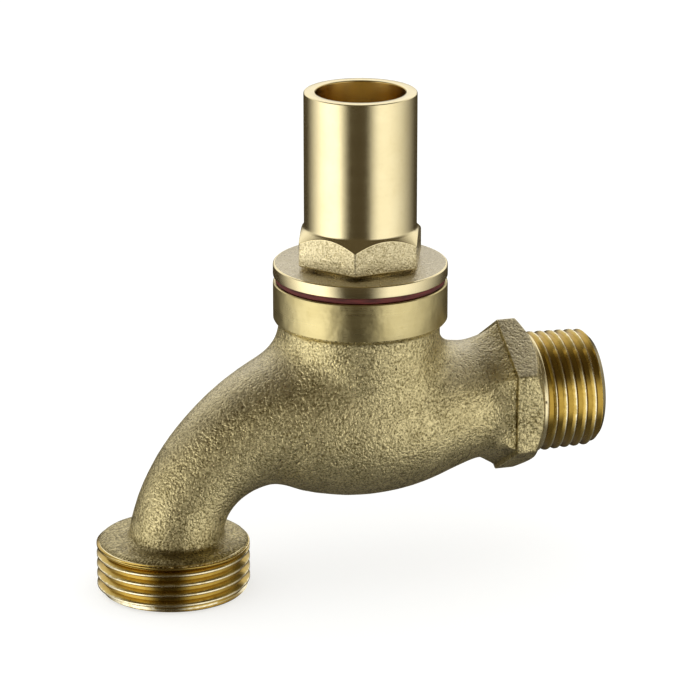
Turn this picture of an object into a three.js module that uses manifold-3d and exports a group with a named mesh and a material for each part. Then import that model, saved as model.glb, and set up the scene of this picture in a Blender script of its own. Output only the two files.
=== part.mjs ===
// Loose-key hose tap: a hose bib whose spindle is reached through a tube on the bonnet.
// Units are millimetres and +Z is up. The part's origin is the centre of the inlet's threaded end
// face, and +X points out of the inlet. Every piece is modelled about the valve centre, where the
// spindle axis crosses the inlet axis, and one group carries them all to the part's origin.

import * as THREE from 'three';
import { mergeVertices } from 'three/addons/utils/BufferGeometryUtils.js';
import Module from 'manifold-3d';

const wasm = await Module();
wasm.setup();

// ---------------------------------------------------------------- driving dimensions

// Layout, measured from the valve centre.
const INLET_REACH = 42;
const OUTLET_REACH = 33.75;
const OUTLET_END_Z = -29.1;
const COLLAR_TOP_Z = 23.35;
const WASHER_SPACE = 1.05;
const SHROUD_TOP_Z = 56.5;

// Pipe threads, both with 14 threads per inch and the 55 degree form.
const PIPE_PITCH = 1.814;
const PIPE_THREAD_DEPTH = 1.162;
const OUTLET_THREAD_R = 13.2205;
const INLET_GAUGE_R = 10.4775;
const INLET_GAUGE_LENGTH = 8.2;
const INLET_TAPER = 1 / 32;
const CREST_AND_ROOT_SHARE = 1 / 6;

// Cast body.
const GLOBE_HALF_LENGTH = 24;
const GLOBE_HALF_WIDTH = 14.6;
const GLOBE_HALF_HEIGHT = 13.6;
const GLOBE_DROP = 1.3;
const NECK_R = 13.7;
const COLLAR_R = 15;
const COLLAR_HEIGHT = 6.95;
const COLLAR_CHAMFER = 0.4;
const BRANCH_R = 10.3;
const BRANCH_FLARE_R = 12;
const BRANCH_FLARE_LENGTH = 3;
const INLET_HEX_X = 24.85;
const INLET_HEX_LENGTH = 5.25;
const INLET_HEX_CORNER_R = 13.86;
const INLET_HEX_CHAMFER = 2;
const INLET_HEX_FACE_R = 11.3;
const INLET_RING_END_X = 31.2;
const INLET_END_CHAMFER = 1;

// Spout: a horn that follows a quarter of an ellipse down to the outlet.
const SPOUT_CENTRE_X = -8;
const SPOUT_CENTRE_Z = -21.5;
const SPOUT_ARC_X = 25.4;
const SPOUT_ARC_Z = 22;
const SPOUT_WAIST_R = 8.05;
const SPOUT_WAIST_ANGLE = THREE.MathUtils.degToRad(68);
const SPOUT_FLARE = 5.45;
const SPOUT_WALL = 2.4;

// Outlet.
const SHOULDER_TOP_Z = -19.7;
const SHOULDER_FLAT_R = 12.4;
const SHOULDER_EDGE_Z = -21.2;
const OUTLET_CHAMFER = 0.78;
const OUTLET_BORE_R = 9;
const OUTLET_BORE_DEPTH = 6.5;
const OUTLET_TAPER_LENGTH = 3.5;

// Waterway inside the body.
const INLET_BORE_R = 7;
const INLET_BORE_START_X = 13;
const LOWER_CHAMBER_R = 11.9;
const WEB_THICKNESS = 2.5;
const SEAT_BORE_R = 5.75;
const SEAT_LIP_R = 7.3;
const WEB_BOTTOM_Z = 1.5;
const WEB_TOP_Z = 4;
const SEAT_LIP_Z = 4.85;
const UPPER_CHAMBER_R = 10.4;
const BONNET_THREAD_START_Z = 13.5;
const BONNET_THREAD_BORE_R = 11.5;

// Bonnet.
const BONNET_SKIRT_R = 11.2;
const BONNET_SKIRT_END_Z = 14.4;
const BONNET_FLANGE_HEIGHT = 2.1;
const BONNET_UNDERCUT_HEIGHT = 0.6;
const BONNET_UNDERCUT_R = 8.4;
const BONNET_WASHER_R = 14.6;
const BONNET_HEX_CORNER_R = 11.6;
const BONNET_HEX_TURN = THREE.MathUtils.degToRad(8.4);
const BONNET_HEX_TOP_Z = 33.1;
const SHROUD_R = 9.65;
const SHROUD_BORE_R = 7.65;
const SHROUD_LIP = 0.35;
const SHROUD_FLOOR_Z = 40;
const BONNET_COUNTERBORE_R = 8.8;
const BONNET_COUNTERBORE_TOP_Z = 16.8;
const SPINDLE_NUT_MINOR_R = 5.8;
const SPINDLE_NUT_MAJOR_R = 6.9;
const SPINDLE_NUT_TOP_Z = 28;
const GLAND_BORE_R = 4.3;

// Spindle and jumper.
const SPINDLE_LEAD = 2;
const SPINDLE_THREAD_R = 6.6;
const SPINDLE_ROOT_R = 5.5;
const SPINDLE_THREAD_START_Z = 12.4;
const SPINDLE_THREAD_END_Z = 21.4;
const SPINDLE_BOTTOM_Z = 10.6;
const SPINDLE_STEM_R = 4;
const SPINDLE_HEAD_START_Z = 40.8;
const SPINDLE_TOP_Z = 48.1;
const SPINDLE_HEAD_WIDTH = 6.35;
const SPINDLE_PIN_BORE_R = 3.2;
const SPINDLE_PIN_BORE_TOP_Z = 25;
const O_RING_SECTION_R = 0.62;
const O_RING_GROOVE_R = 2.95;
const O_RING_GROOVE_WIDTH = 1.6;
const O_RING_HEIGHTS = { spindle_o_ring_lower: 30.2, spindle_o_ring_upper: 33.6 };
const THRUST_WASHER_THICKNESS = 0.8;
const JUMPER_PIN_R = 2.9;
const JUMPER_PIN_TOP_Z = 24;
const JUMPER_DISC_R = 7.6;
const JUMPER_DISC_BOTTOM_Z = 8.2;
const JUMPER_DISC_TOP_Z = 10.4;
const JUMPER_STUD_R = 1.9;
const JUMPER_STUD_BOTTOM_Z = 2;
const JUMPER_WASHER_R = 8;
const JUMPER_NUT_HEIGHT = 1.8;
const JUMPER_NUT_WIDTH = 6.5;

// Gaps between neighbours: flat faces that meet, and curved ones.
const FACE_GAP = 0.1;
const CURVED_GAP = 0.3;

const COLLAR_BOTTOM_Z = COLLAR_TOP_Z - COLLAR_HEIGHT;
const FLANGE_BOTTOM_Z = COLLAR_TOP_Z + WASHER_SPACE;
const FLANGE_TOP_Z = FLANGE_BOTTOM_Z + BONNET_FLANGE_HEIGHT;
const HALF_TURN = Math.PI;
const FULL_TURN = 2 * Math.PI;

const BODY_SEGMENTS = 32;
const SMALL_SEGMENTS = 20;

// ---------------------------------------------------------------- solids

// Turns closed geometry into a solid that can be joined and cut.
function solid(geometry) {
  const bare = geometry.clone();
  bare.deleteAttribute('normal');
  bare.deleteAttribute('uv');
  const merged = mergeVertices(bare);
  const corners = merged.index.array;
  const kept = [];
  for (let i = 0; i < corners.length; i += 3) {
    const [a, b, c] = corners.slice(i, i + 3);
    if (a !== b && b !== c && c !== a) {
      kept.push(a, b, c);
    }
  }
  return new wasm.Manifold(new wasm.Mesh({
    numProp: 3,
    vertProperties: new Float32Array(merged.attributes.position.array),
    triVerts: new Uint32Array(kept),
  }));
}

function join(...solids) {
  return solids.reduce((whole, piece) => whole.add(piece));
}

function piece(name, shape, { color, roughness, metalness }) {
  const { vertProperties, triVerts } = shape.getMesh();
  const geometry = new THREE.BufferGeometry();
  geometry.setAttribute('position', new THREE.BufferAttribute(vertProperties, 3));
  geometry.setIndex(new THREE.BufferAttribute(triVerts, 1));
  geometry.computeVertexNormals();
  const mesh = new THREE.Mesh(geometry, new THREE.MeshStandardMaterial({ color, roughness, metalness }));
  mesh.name = name;
  return mesh;
}

// A turned solid about +Z. The outline is [radius, height] points, anticlockwise, and either
// starts and ends on the axis or closes on itself.
function turned(outline, segments = BODY_SEGMENTS) {
  const points = outline.map(([radius, height]) => new THREE.Vector2(radius, height));
  return new THREE.LatheGeometry(points, segments).rotateX(HALF_TURN / 2);
}

// A plain or conical round bar about +Z.
function bar(bottomRadius, topRadius, from, to, segments = BODY_SEGMENTS) {
  return turned([[0, from], [bottomRadius, from], [topRadius, to], [0, to]], segments);
}

function alongX(geometry) {
  return geometry.rotateY(HALF_TURN / 2);
}

// A ring about +Z with a rectangular section.
function ring(innerRadius, outerRadius, from, to, segments = BODY_SEGMENTS) {
  const section = [[innerRadius, from], [outerRadius, from], [outerRadius, to], [innerRadius, to]];
  return turned([...section, section[0]], segments);
}

// A hexagonal bar about +Z with one corner at the given angle from +X.
function hexBar(cornerRadius, from, to, cornerAngle) {
  const bar6 = new THREE.CylinderGeometry(cornerRadius, cornerRadius, to - from, 6);
  return bar6.rotateX(HALF_TURN / 2).rotateZ(HALF_TURN / 2 + cornerAngle).translate(0, 0, (from + to) / 2);
}

// A hexagon about +Z whose top end has a conical chamfer: it leaves a round face of faceR, and
// reaches the corners at the chamfer's depth below.
function hexagon({ cornerR, from, to, cornerAngle, faceR, chamfer }) {
  const beyond = cornerR + 1;
  const beyondZ = to - chamfer * (beyond - faceR) / (cornerR - faceR);
  const cone = turned([[0, from - 1], [beyond, from - 1], [beyond, beyondZ], [faceR, to], [0, to]]);
  return { bar: hexBar(cornerR, from, to, cornerAngle), cone };
}

// A right-hand screw about +Z as one closed mesh. Its skin is a grid whose rows wind upwards by a
// pitch each turn, and each end closes on a point of the axis, to be trimmed by an envelope.
function screw({ crest, root, pitch, from, to, taper = 0, taperFrom = 0, segments }) {
  const flank = 0.5 - CREST_AND_ROOT_SHARE;
  const form = [
    { share: 0, radius: root },
    { share: CREST_AND_ROOT_SHARE, radius: root },
    { share: CREST_AND_ROOT_SHARE + flank, radius: crest },
    { share: 2 * CREST_AND_ROOT_SHARE + flank, radius: crest },
  ];
  const rows = form.length * (Math.ceil((to - from) / pitch) + 1);
  const start = from - pitch;
  const vertices = [];
  for (let turn = 0; turn < segments; turn += 1) {
    const angle = FULL_TURN * turn / segments;
    const lastRow = turn === 0 ? rows + form.length : rows;
    for (let row = 0; row <= lastRow; row += 1) {
      const { share, radius } = form[row % form.length];
      const height = start + pitch * (Math.floor(row / form.length) + share + turn / segments);
      const r = radius - taper * (height - taperFrom);
      vertices.push(r * Math.cos(angle), r * Math.sin(angle), height);
    }
  }
  const firstColumn = rows + form.length + 1;
  const at = (turn, row) => {
    if (turn === segments) {
      return row + form.length;
    }
    return turn === 0 ? row : firstColumn + (turn - 1) * (rows + 1) + row;
  };
  const bottom = vertices.length / 3;
  const top = bottom + 1;
  vertices.push(0, 0, start - pitch, 0, 0, start + pitch * (rows / form.length + 2));
  const faces = [];
  for (let turn = 0; turn < segments; turn += 1) {
    for (let row = 0; row < rows; row += 1) {
      faces.push(at(turn, row), at(turn + 1, row), at(turn + 1, row + 1));
      faces.push(at(turn, row), at(turn + 1, row + 1), at(turn, row + 1));
    }
    faces.push(bottom, at(turn + 1, 0), at(turn, 0));
    faces.push(top, at(turn, rows), at(turn + 1, rows));
  }
  for (let row = 0; row < form.length; row += 1) {
    faces.push(bottom, at(0, row), at(0, row + 1));
    faces.push(top, at(segments, rows - row), at(segments, rows - row - 1));
  }
  const geometry = new THREE.BufferGeometry();
  geometry.setAttribute('position', new THREE.Float32BufferAttribute(vertices, 3));
  geometry.setIndex(faces);
  return geometry;
}

// Joins rings of points, each with the same count, into one closed skin with a fan at each end.
function loft(rings) {
  const count = rings[0].length;
  const points = rings.flat();
  const first = points.length;
  points.push(middle(rings[0]), middle(rings[rings.length - 1]));
  const lastRing = (rings.length - 1) * count;
  const faces = [];
  for (let side = 0; side < count; side += 1) {
    const next = (side + 1) % count;
    for (let row = 0; row < lastRing; row += count) {
      faces.push(row + side, row + next, row + count + next);
      faces.push(row + side, row + count + next, row + count + side);
    }
    faces.push(first, next, side);
    faces.push(first + 1, lastRing + side, lastRing + next);
  }
  const geometry = new THREE.BufferGeometry().setFromPoints(points);
  geometry.setIndex(faces);
  return geometry;
}

function middle(points) {
  const sum = points.reduce((total, point) => total.add(point), new THREE.Vector3());
  return sum.divideScalar(points.length);
}

// What trims a screw: a bar about +Z, wider than the thread, whose top end has a 45 degree chamfer.
function chamferedEnvelope(from, to, endRadius) {
  const chamfer = 2 * PIPE_THREAD_DEPTH;
  const widest = endRadius + chamfer;
  return turned([[0, from], [widest, from], [widest, to - chamfer], [endRadius, to], [0, to]]);
}

// ---------------------------------------------------------------- valve body

// The spout's horn with its skin moved inwards by the inset. It follows the ellipse from the angle
// `from`, 0 above the valve centre, to the angle `to`, a quarter turn being straight down.
function spoutHorn({ inset, from, to, steps, segments }) {
  const rings = [];
  for (let step = 0; step <= steps; step += 1) {
    const angle = THREE.MathUtils.lerp(from, to, step / steps);
    const centre = new THREE.Vector3(
      SPOUT_CENTRE_X - SPOUT_ARC_X * Math.sin(angle), 0, SPOUT_CENTRE_Z + SPOUT_ARC_Z * Math.cos(angle));
    const outwards = new THREE.Vector3(
      -SPOUT_ARC_Z * Math.sin(angle), 0, SPOUT_ARC_X * Math.cos(angle)).normalize();
    const radius = SPOUT_WAIST_R + SPOUT_FLARE * (1 - angle / SPOUT_WAIST_ANGLE) ** 2 - inset;
    const circle = Array.from({ length: segments }, (_, side) => {
      const around = FULL_TURN * side / segments;
      const sideways = new THREE.Vector3(0, radius * Math.sin(around), 0);
      return centre.clone().addScaledVector(outwards, radius * Math.cos(around)).add(sideways);
    });
    rings.push(circle);
  }
  return loft(rings);
}

// The round middle of the body, longer along the pipe than across it.
function globe() {
  return new THREE.SphereGeometry(1, BODY_SEGMENTS, BODY_SEGMENTS / 2)
    .scale(GLOBE_HALF_LENGTH, GLOBE_HALF_WIDTH, GLOBE_HALF_HEIGHT)
    .translate(0, 0, -GLOBE_DROP);
}

function collarAndNeck() {
  const under = COLLAR_R - COLLAR_CHAMFER;
  return turned([
    [0, 0], [NECK_R, 0], [NECK_R, COLLAR_BOTTOM_Z], [under, COLLAR_BOTTOM_Z],
    [COLLAR_R, COLLAR_BOTTOM_Z + COLLAR_CHAMFER], [COLLAR_R, COLLAR_TOP_Z], [0, COLLAR_TOP_Z],
  ]);
}

function inletRadius(x) {
  return INLET_GAUGE_R - INLET_TAPER * (x - (INLET_REACH - INLET_GAUGE_LENGTH));
}

// Branch, hexagon, plain ring and taper thread, along +X.
function inlet() {
  const hexEnd = INLET_HEX_X + INLET_HEX_LENGTH;
  const hex = hexagon({
    cornerR: INLET_HEX_CORNER_R, from: INLET_HEX_X, to: hexEnd, cornerAngle: 0,
    faceR: INLET_HEX_FACE_R, chamfer: INLET_HEX_CHAMFER,
  });
  const hexHead = solid(alongX(hex.bar)).intersect(solid(alongX(hex.cone)));
  const ringR = inletRadius(hexEnd);
  const plainRing = solid(alongX(bar(ringR, ringR, hexEnd - 1, INLET_RING_END_X)));
  const thread = solid(alongX(screw({
    crest: INLET_GAUGE_R, root: INLET_GAUGE_R - PIPE_THREAD_DEPTH, pitch: PIPE_PITCH,
    from: INLET_RING_END_X, to: INLET_REACH, taper: INLET_TAPER,
    taperFrom: INLET_REACH - INLET_GAUGE_LENGTH, segments: 28,
  })));
  const envelope = solid(alongX(chamferedEnvelope(
    INLET_RING_END_X - 1, INLET_REACH, inletRadius(INLET_REACH) - INLET_END_CHAMFER)));
  const branch = solid(alongX(turned([
    [0, 0], [BRANCH_R, 0], [BRANCH_R, INLET_HEX_X - BRANCH_FLARE_LENGTH], [BRANCH_FLARE_R, INLET_HEX_X],
    [0, INLET_HEX_X + 1],
  ])));
  return join(branch, hexHead, plainRing, thread.intersect(envelope));
}

// Cast shoulder and hose thread, about the outlet's own axis.
function outlet() {
  const shoulder = solid(turned([
    [0, SHOULDER_EDGE_Z - 2], [OUTLET_THREAD_R - PIPE_THREAD_DEPTH, SHOULDER_EDGE_Z - 2],
    [OUTLET_THREAD_R - PIPE_THREAD_DEPTH, SHOULDER_EDGE_Z - 0.5], [OUTLET_THREAD_R, SHOULDER_EDGE_Z],
    [SHOULDER_FLAT_R, SHOULDER_TOP_Z], [0, SHOULDER_TOP_Z],
  ]));
  const thread = solid(screw({
    crest: OUTLET_THREAD_R, root: OUTLET_THREAD_R - PIPE_THREAD_DEPTH, pitch: PIPE_PITCH,
    from: OUTLET_END_Z, to: SHOULDER_EDGE_Z, segments: BODY_SEGMENTS,
  }));
  const upsideDown = chamferedEnvelope(
    0.2 - SHOULDER_EDGE_Z, -OUTLET_END_Z, OUTLET_THREAD_R - OUTLET_CHAMFER);
  const envelope = solid(upsideDown.rotateX(HALF_TURN));
  return join(shoulder, thread.intersect(envelope)).translate([-OUTLET_REACH, 0, 0]);
}

// The space under the seat, grown by the given amount, and cut flat at the given height.
function lowerChamber(growth, top) {
  const chamber = solid(new THREE.SphereGeometry(LOWER_CHAMBER_R + growth, 28, 14));
  const size = 4 * LOWER_CHAMBER_R;
  const above = solid(new THREE.BoxGeometry(size, size, size).translate(0, 0, top + size / 2));
  return chamber.subtract(above);
}

// Water comes in below the seat, through the seat bore and out over the web to the spout.
function waterway() {
  const size = 4 * INLET_BORE_R;
  const lowHalf = solid(new THREE.BoxGeometry(size, size, size).translate(0, 0, WEB_BOTTOM_Z - size / 2));
  const farBore = solid(alongX(bar(INLET_BORE_R, INLET_BORE_R, INLET_BORE_START_X, INLET_REACH + 1, 32)));
  const nearBore = solid(alongX(bar(INLET_BORE_R, INLET_BORE_R, 0, INLET_REACH, 32))).intersect(lowHalf);
  const below = join(lowerChamber(0, WEB_BOTTOM_Z), nearBore, farBore);
  const seat = solid(bar(SEAT_BORE_R, SEAT_BORE_R, 0, SEAT_LIP_Z + 1, 32));
  const upper = solid(turned([
    [0, WEB_TOP_Z], [UPPER_CHAMBER_R, WEB_TOP_Z], [UPPER_CHAMBER_R, BONNET_THREAD_START_Z],
    [BONNET_THREAD_BORE_R, BONNET_THREAD_START_Z], [BONNET_THREAD_BORE_R, COLLAR_TOP_Z + 1],
    [0, COLLAR_TOP_Z + 1],
  ]));
  const seatLip = solid(ring(SEAT_BORE_R - 1, SEAT_LIP_R, WEB_TOP_Z - 1, SEAT_LIP_Z, 32));
  const duct = solid(spoutHorn({
    inset: SPOUT_WALL, from: 0, to: HALF_TURN / 2, steps: 9, segments: 28,
  }));
  const outletTaperStart = OUTLET_END_Z + OUTLET_BORE_DEPTH;
  const outletTaperEnd = outletTaperStart + OUTLET_TAPER_LENGTH;
  const outletWay = solid(turned([
    [0, OUTLET_END_Z - 1], [OUTLET_BORE_R, OUTLET_END_Z - 1], [OUTLET_BORE_R, outletTaperStart],
    [SPOUT_WAIST_R - SPOUT_WALL, outletTaperEnd], [0, outletTaperEnd],
  ], 32)).translate([-OUTLET_REACH, 0, 0]);
  const above = join(duct, outletWay).subtract(lowerChamber(WEB_THICKNESS, WEB_TOP_Z));
  return join(upper.subtract(seatLip), above, below, seat);
}

function valveBody() {
  const horn = solid(spoutHorn({
    inset: 0, from: 0, to: HALF_TURN / 2, steps: 12, segments: BODY_SEGMENTS,
  }));
  const casting = join(solid(globe()), solid(collarAndNeck()), horn, inlet(), outlet());
  return casting.subtract(waterway());
}

// ---------------------------------------------------------------- bonnet and its washer

function bonnet() {
  const hexBottom = FLANGE_TOP_Z + BONNET_UNDERCUT_HEIGHT;
  const core = solid(turned([
    [0, BONNET_SKIRT_END_Z], [BONNET_SKIRT_R, BONNET_SKIRT_END_Z], [BONNET_SKIRT_R, FLANGE_BOTTOM_Z],
    [COLLAR_R, FLANGE_BOTTOM_Z], [COLLAR_R, FLANGE_TOP_Z], [BONNET_UNDERCUT_R, FLANGE_TOP_Z],
    [BONNET_UNDERCUT_R, BONNET_HEX_TOP_Z - 1], [SHROUD_R, BONNET_HEX_TOP_Z - 1],
    [SHROUD_R, SHROUD_TOP_Z - SHROUD_LIP], [SHROUD_R - SHROUD_LIP, SHROUD_TOP_Z], [0, SHROUD_TOP_Z],
  ]));
  const hex = hexagon({
    cornerR: BONNET_HEX_CORNER_R, from: hexBottom, to: BONNET_HEX_TOP_Z, cornerAngle: BONNET_HEX_TURN,
    faceR: SHROUD_R, chamfer: BONNET_HEX_CORNER_R - SHROUD_R,
  });
  const hexHead = solid(hex.bar).intersect(solid(hex.cone));
  const bore = solid(turned([
    [0, BONNET_SKIRT_END_Z - 1], [BONNET_COUNTERBORE_R, BONNET_SKIRT_END_Z - 1],
    [BONNET_COUNTERBORE_R, BONNET_COUNTERBORE_TOP_Z], [GLAND_BORE_R, BONNET_COUNTERBORE_TOP_Z],
    [GLAND_BORE_R, SHROUD_FLOOR_Z], [SHROUD_BORE_R, SHROUD_FLOOR_Z],
    [SHROUD_BORE_R, SHROUD_TOP_Z - SHROUD_LIP], [SHROUD_BORE_R + 2 * SHROUD_LIP, SHROUD_TOP_Z + SHROUD_LIP],
    [0, SHROUD_TOP_Z + SHROUD_LIP],
  ], 36));
  const nutThread = solid(screw({
    crest: SPINDLE_NUT_MAJOR_R, root: SPINDLE_NUT_MINOR_R, pitch: SPINDLE_LEAD,
    from: SPINDLE_THREAD_START_Z - 4 * SPINDLE_LEAD, to: SPINDLE_NUT_TOP_Z, segments: SMALL_SEGMENTS,
  }));
  const trimR = SPINDLE_NUT_MAJOR_R + 1;
  const nutEnvelope = solid(bar(trimR, trimR, BONNET_COUNTERBORE_TOP_Z - 1, SPINDLE_NUT_TOP_Z));
  return join(core, hexHead).subtract(join(bore, nutThread.intersect(nutEnvelope)));
}

function bonnetWasher() {
  const [bottom, top] = [COLLAR_TOP_Z + FACE_GAP / 2, FLANGE_BOTTOM_Z - FACE_GAP / 2];
  return solid(ring(BONNET_SKIRT_R + CURVED_GAP, BONNET_WASHER_R, bottom, top));
}

// ---------------------------------------------------------------- spindle, its seals and washer

function spindle() {
  const grooves = Object.values(O_RING_HEIGHTS).flatMap((height) => [
    [SPINDLE_STEM_R, height - O_RING_GROOVE_WIDTH / 2], [O_RING_GROOVE_R, height - O_RING_GROOVE_WIDTH / 2],
    [O_RING_GROOVE_R, height + O_RING_GROOVE_WIDTH / 2], [SPINDLE_STEM_R, height + O_RING_GROOVE_WIDTH / 2],
  ]);
  const stem = solid(turned([
    [0, SPINDLE_BOTTOM_Z], [SPINDLE_ROOT_R, SPINDLE_BOTTOM_Z], [SPINDLE_ROOT_R, SPINDLE_THREAD_END_Z],
    [SPINDLE_STEM_R, SPINDLE_THREAD_END_Z], ...grooves, [SPINDLE_STEM_R, SPINDLE_HEAD_START_Z],
    [0, SPINDLE_HEAD_START_Z],
  ], SMALL_SEGMENTS));
  const thread = solid(screw({
    crest: SPINDLE_THREAD_R, root: SPINDLE_ROOT_R, pitch: SPINDLE_LEAD,
    from: SPINDLE_THREAD_START_Z, to: SPINDLE_THREAD_END_Z, segments: SMALL_SEGMENTS,
  }));
  const trimR = SPINDLE_THREAD_R + 1;
  const envelope = solid(bar(trimR, trimR, SPINDLE_THREAD_START_Z, SPINDLE_THREAD_END_Z, SMALL_SEGMENTS));
  const headLength = SPINDLE_TOP_Z - SPINDLE_HEAD_START_Z + 1;
  const square = solid(new THREE.BoxGeometry(SPINDLE_HEAD_WIDTH, SPINDLE_HEAD_WIDTH, headLength)
    .translate(0, 0, SPINDLE_TOP_Z - headLength / 2));
  const rounding = solid(turned([
    [0, SPINDLE_HEAD_START_Z - 2], [SPINDLE_STEM_R, SPINDLE_HEAD_START_Z - 2],
    [SPINDLE_STEM_R, SPINDLE_TOP_Z - 1], [SPINDLE_STEM_R - 1, SPINDLE_TOP_Z], [0, SPINDLE_TOP_Z],
  ], SMALL_SEGMENTS));
  const pinBore = solid(bar(
    SPINDLE_PIN_BORE_R, SPINDLE_PIN_BORE_R, SPINDLE_BOTTOM_Z - 1, SPINDLE_PIN_BORE_TOP_Z, SMALL_SEGMENTS));
  return join(stem, thread.intersect(envelope), square.intersect(rounding)).subtract(pinBore);
}

function oRing(height) {
  const centreR = O_RING_GROOVE_R + FACE_GAP / 2 + O_RING_SECTION_R;
  return solid(new THREE.TorusGeometry(centreR, O_RING_SECTION_R, 8, SMALL_SEGMENTS).translate(0, 0, height));
}

function thrustWasher() {
  const bottom = SPINDLE_THREAD_END_Z + FACE_GAP;
  return solid(ring(
    SPINDLE_STEM_R + 2 * FACE_GAP, SPINDLE_ROOT_R, bottom, bottom + THRUST_WASHER_THICKNESS, SMALL_SEGMENTS));
}

// ---------------------------------------------------------------- jumper valve

function jumperValve() {
  return solid(turned([
    [0, JUMPER_STUD_BOTTOM_Z], [JUMPER_STUD_R, JUMPER_STUD_BOTTOM_Z], [JUMPER_STUD_R, JUMPER_DISC_BOTTOM_Z],
    [JUMPER_DISC_R, JUMPER_DISC_BOTTOM_Z], [JUMPER_DISC_R, JUMPER_DISC_TOP_Z],
    [JUMPER_PIN_R, JUMPER_DISC_TOP_Z], [JUMPER_PIN_R, JUMPER_PIN_TOP_Z - 0.5],
    [JUMPER_PIN_R - 0.5, JUMPER_PIN_TOP_Z], [0, JUMPER_PIN_TOP_Z],
  ], SMALL_SEGMENTS));
}

function jumperWasher() {
  return solid(ring(
    JUMPER_STUD_R + CURVED_GAP, JUMPER_WASHER_R, SEAT_LIP_Z + FACE_GAP, JUMPER_DISC_BOTTOM_Z - FACE_GAP,
    SMALL_SEGMENTS));
}

function jumperNut() {
  const top = SEAT_LIP_Z;
  const bottom = top - JUMPER_NUT_HEIGHT;
  const cornerR = JUMPER_NUT_WIDTH / Math.sqrt(3);
  const threadHole = JUMPER_STUD_R + CURVED_GAP;
  const hole = solid(bar(threadHole, threadHole, bottom - 1, top + 1, SMALL_SEGMENTS));
  return solid(hexBar(cornerR, bottom, top, 0)).subtract(hole);
}

// ---------------------------------------------------------------- the assembly

const castBrass = { color: 0xa3956a, roughness: 0.6, metalness: 1 };
const turnedBrass = { color: 0xd2bd78, roughness: 0.25, metalness: 1 };
const redFibre = { color: 0x6b2a2c, roughness: 0.8, metalness: 0 };
const blackRubber = { color: 0x1b1b1c, roughness: 0.7, metalness: 0 };
const whiteNylon = { color: 0xe6e2d6, roughness: 0.5, metalness: 0 };

const tap = new THREE.Group();
tap.position.x = -INLET_REACH;
tap.add(
  piece('valve_body', valveBody(), castBrass),
  piece('bonnet', bonnet(), turnedBrass),
  piece('bonnet_washer', bonnetWasher(), redFibre),
  piece('spindle', spindle(), turnedBrass),
  piece('thrust_washer', thrustWasher(), whiteNylon),
  piece('jumper_valve', jumperValve(), turnedBrass),
  piece('jumper_washer', jumperWasher(), blackRubber),
  piece('jumper_nut', jumperNut(), turnedBrass),
);
for (const [name, height] of Object.entries(O_RING_HEIGHTS)) {
  tap.add(piece(name, oRing(height), blackRubber));
}

const assembly = new THREE.Group();
assembly.add(tap);

export default assembly;
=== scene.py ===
"""Looks of the loose-key hose tap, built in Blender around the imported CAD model.

Shapes are worked out in millimetres about the valve centre, where the spindle axis crosses the
inlet axis, and turned into metres in the row's frame as each mesh is made.
"""
import math

import bmesh
import bpy
import numpy as np
import openvdb
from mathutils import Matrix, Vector


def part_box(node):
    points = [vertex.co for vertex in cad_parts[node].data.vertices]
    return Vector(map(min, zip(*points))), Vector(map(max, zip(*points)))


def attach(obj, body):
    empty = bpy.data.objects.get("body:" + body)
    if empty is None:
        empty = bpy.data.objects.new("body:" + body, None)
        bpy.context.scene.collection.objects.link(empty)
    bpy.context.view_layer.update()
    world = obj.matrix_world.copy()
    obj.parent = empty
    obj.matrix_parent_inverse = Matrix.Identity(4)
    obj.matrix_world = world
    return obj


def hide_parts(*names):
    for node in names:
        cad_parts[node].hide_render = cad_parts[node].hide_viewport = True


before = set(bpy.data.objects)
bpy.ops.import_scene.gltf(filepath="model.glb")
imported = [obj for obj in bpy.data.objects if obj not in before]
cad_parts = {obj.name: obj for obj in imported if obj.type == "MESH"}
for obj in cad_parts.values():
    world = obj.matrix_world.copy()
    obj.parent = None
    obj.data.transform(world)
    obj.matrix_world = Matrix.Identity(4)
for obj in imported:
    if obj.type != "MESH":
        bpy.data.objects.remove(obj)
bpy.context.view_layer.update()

# ---------------------------------------------------------------- places read from the frame

MM = 0.001
BODY_LOW, BODY_HIGH = [np.array(corner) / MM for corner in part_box("valve_body")]
BONNET_LOW, BONNET_HIGH = [np.array(corner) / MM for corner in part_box("bonnet")]
SPINDLE_LOW, SPINDLE_HIGH = [np.array(corner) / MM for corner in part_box("spindle")]
AXIS_X = (BONNET_LOW[0] + BONNET_HIGH[0]) / 2
INLET_REACH = BODY_HIGH[0] - AXIS_X
COLLAR_TOP = BODY_HIGH[2]
OUTLET_END = BODY_LOW[2]
SHROUD_TOP = BONNET_HIGH[2]
SKIRT_END = BONNET_LOW[2]
COLLAR_R = (BONNET_HIGH[1] - BONNET_LOW[1]) / 2

# ---------------------------------------------------------------- driving dimensions, in mm

# the pipe threads and the run-out above the outlet's
PIPE_PITCH = 1.814
OUTLET_THREAD_R = 13.2205
OUTLET_THREAD_DEPTH = 0.9
OUTLET_CHAMFER = 0.9
OUTLET_X = BODY_LOW[0] + OUTLET_THREAD_R - AXIS_X
INLET_GAUGE_R = 10.4775
INLET_GAUGE_X = INLET_REACH - 8.2
INLET_TAPER = 1 / 32
INLET_THREAD_DEPTH = 0.5
INLET_CHAMFER = 1.1
SHOULDER_TOP = -19.9
SHOULDER_EDGE = -21.2
SHOULDER_ROUND = 1.5
SHOULDER_INSET = 0.08
SKIN_CLIP = 0.3
RUN_OUT_TOP = -20.8

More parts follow.
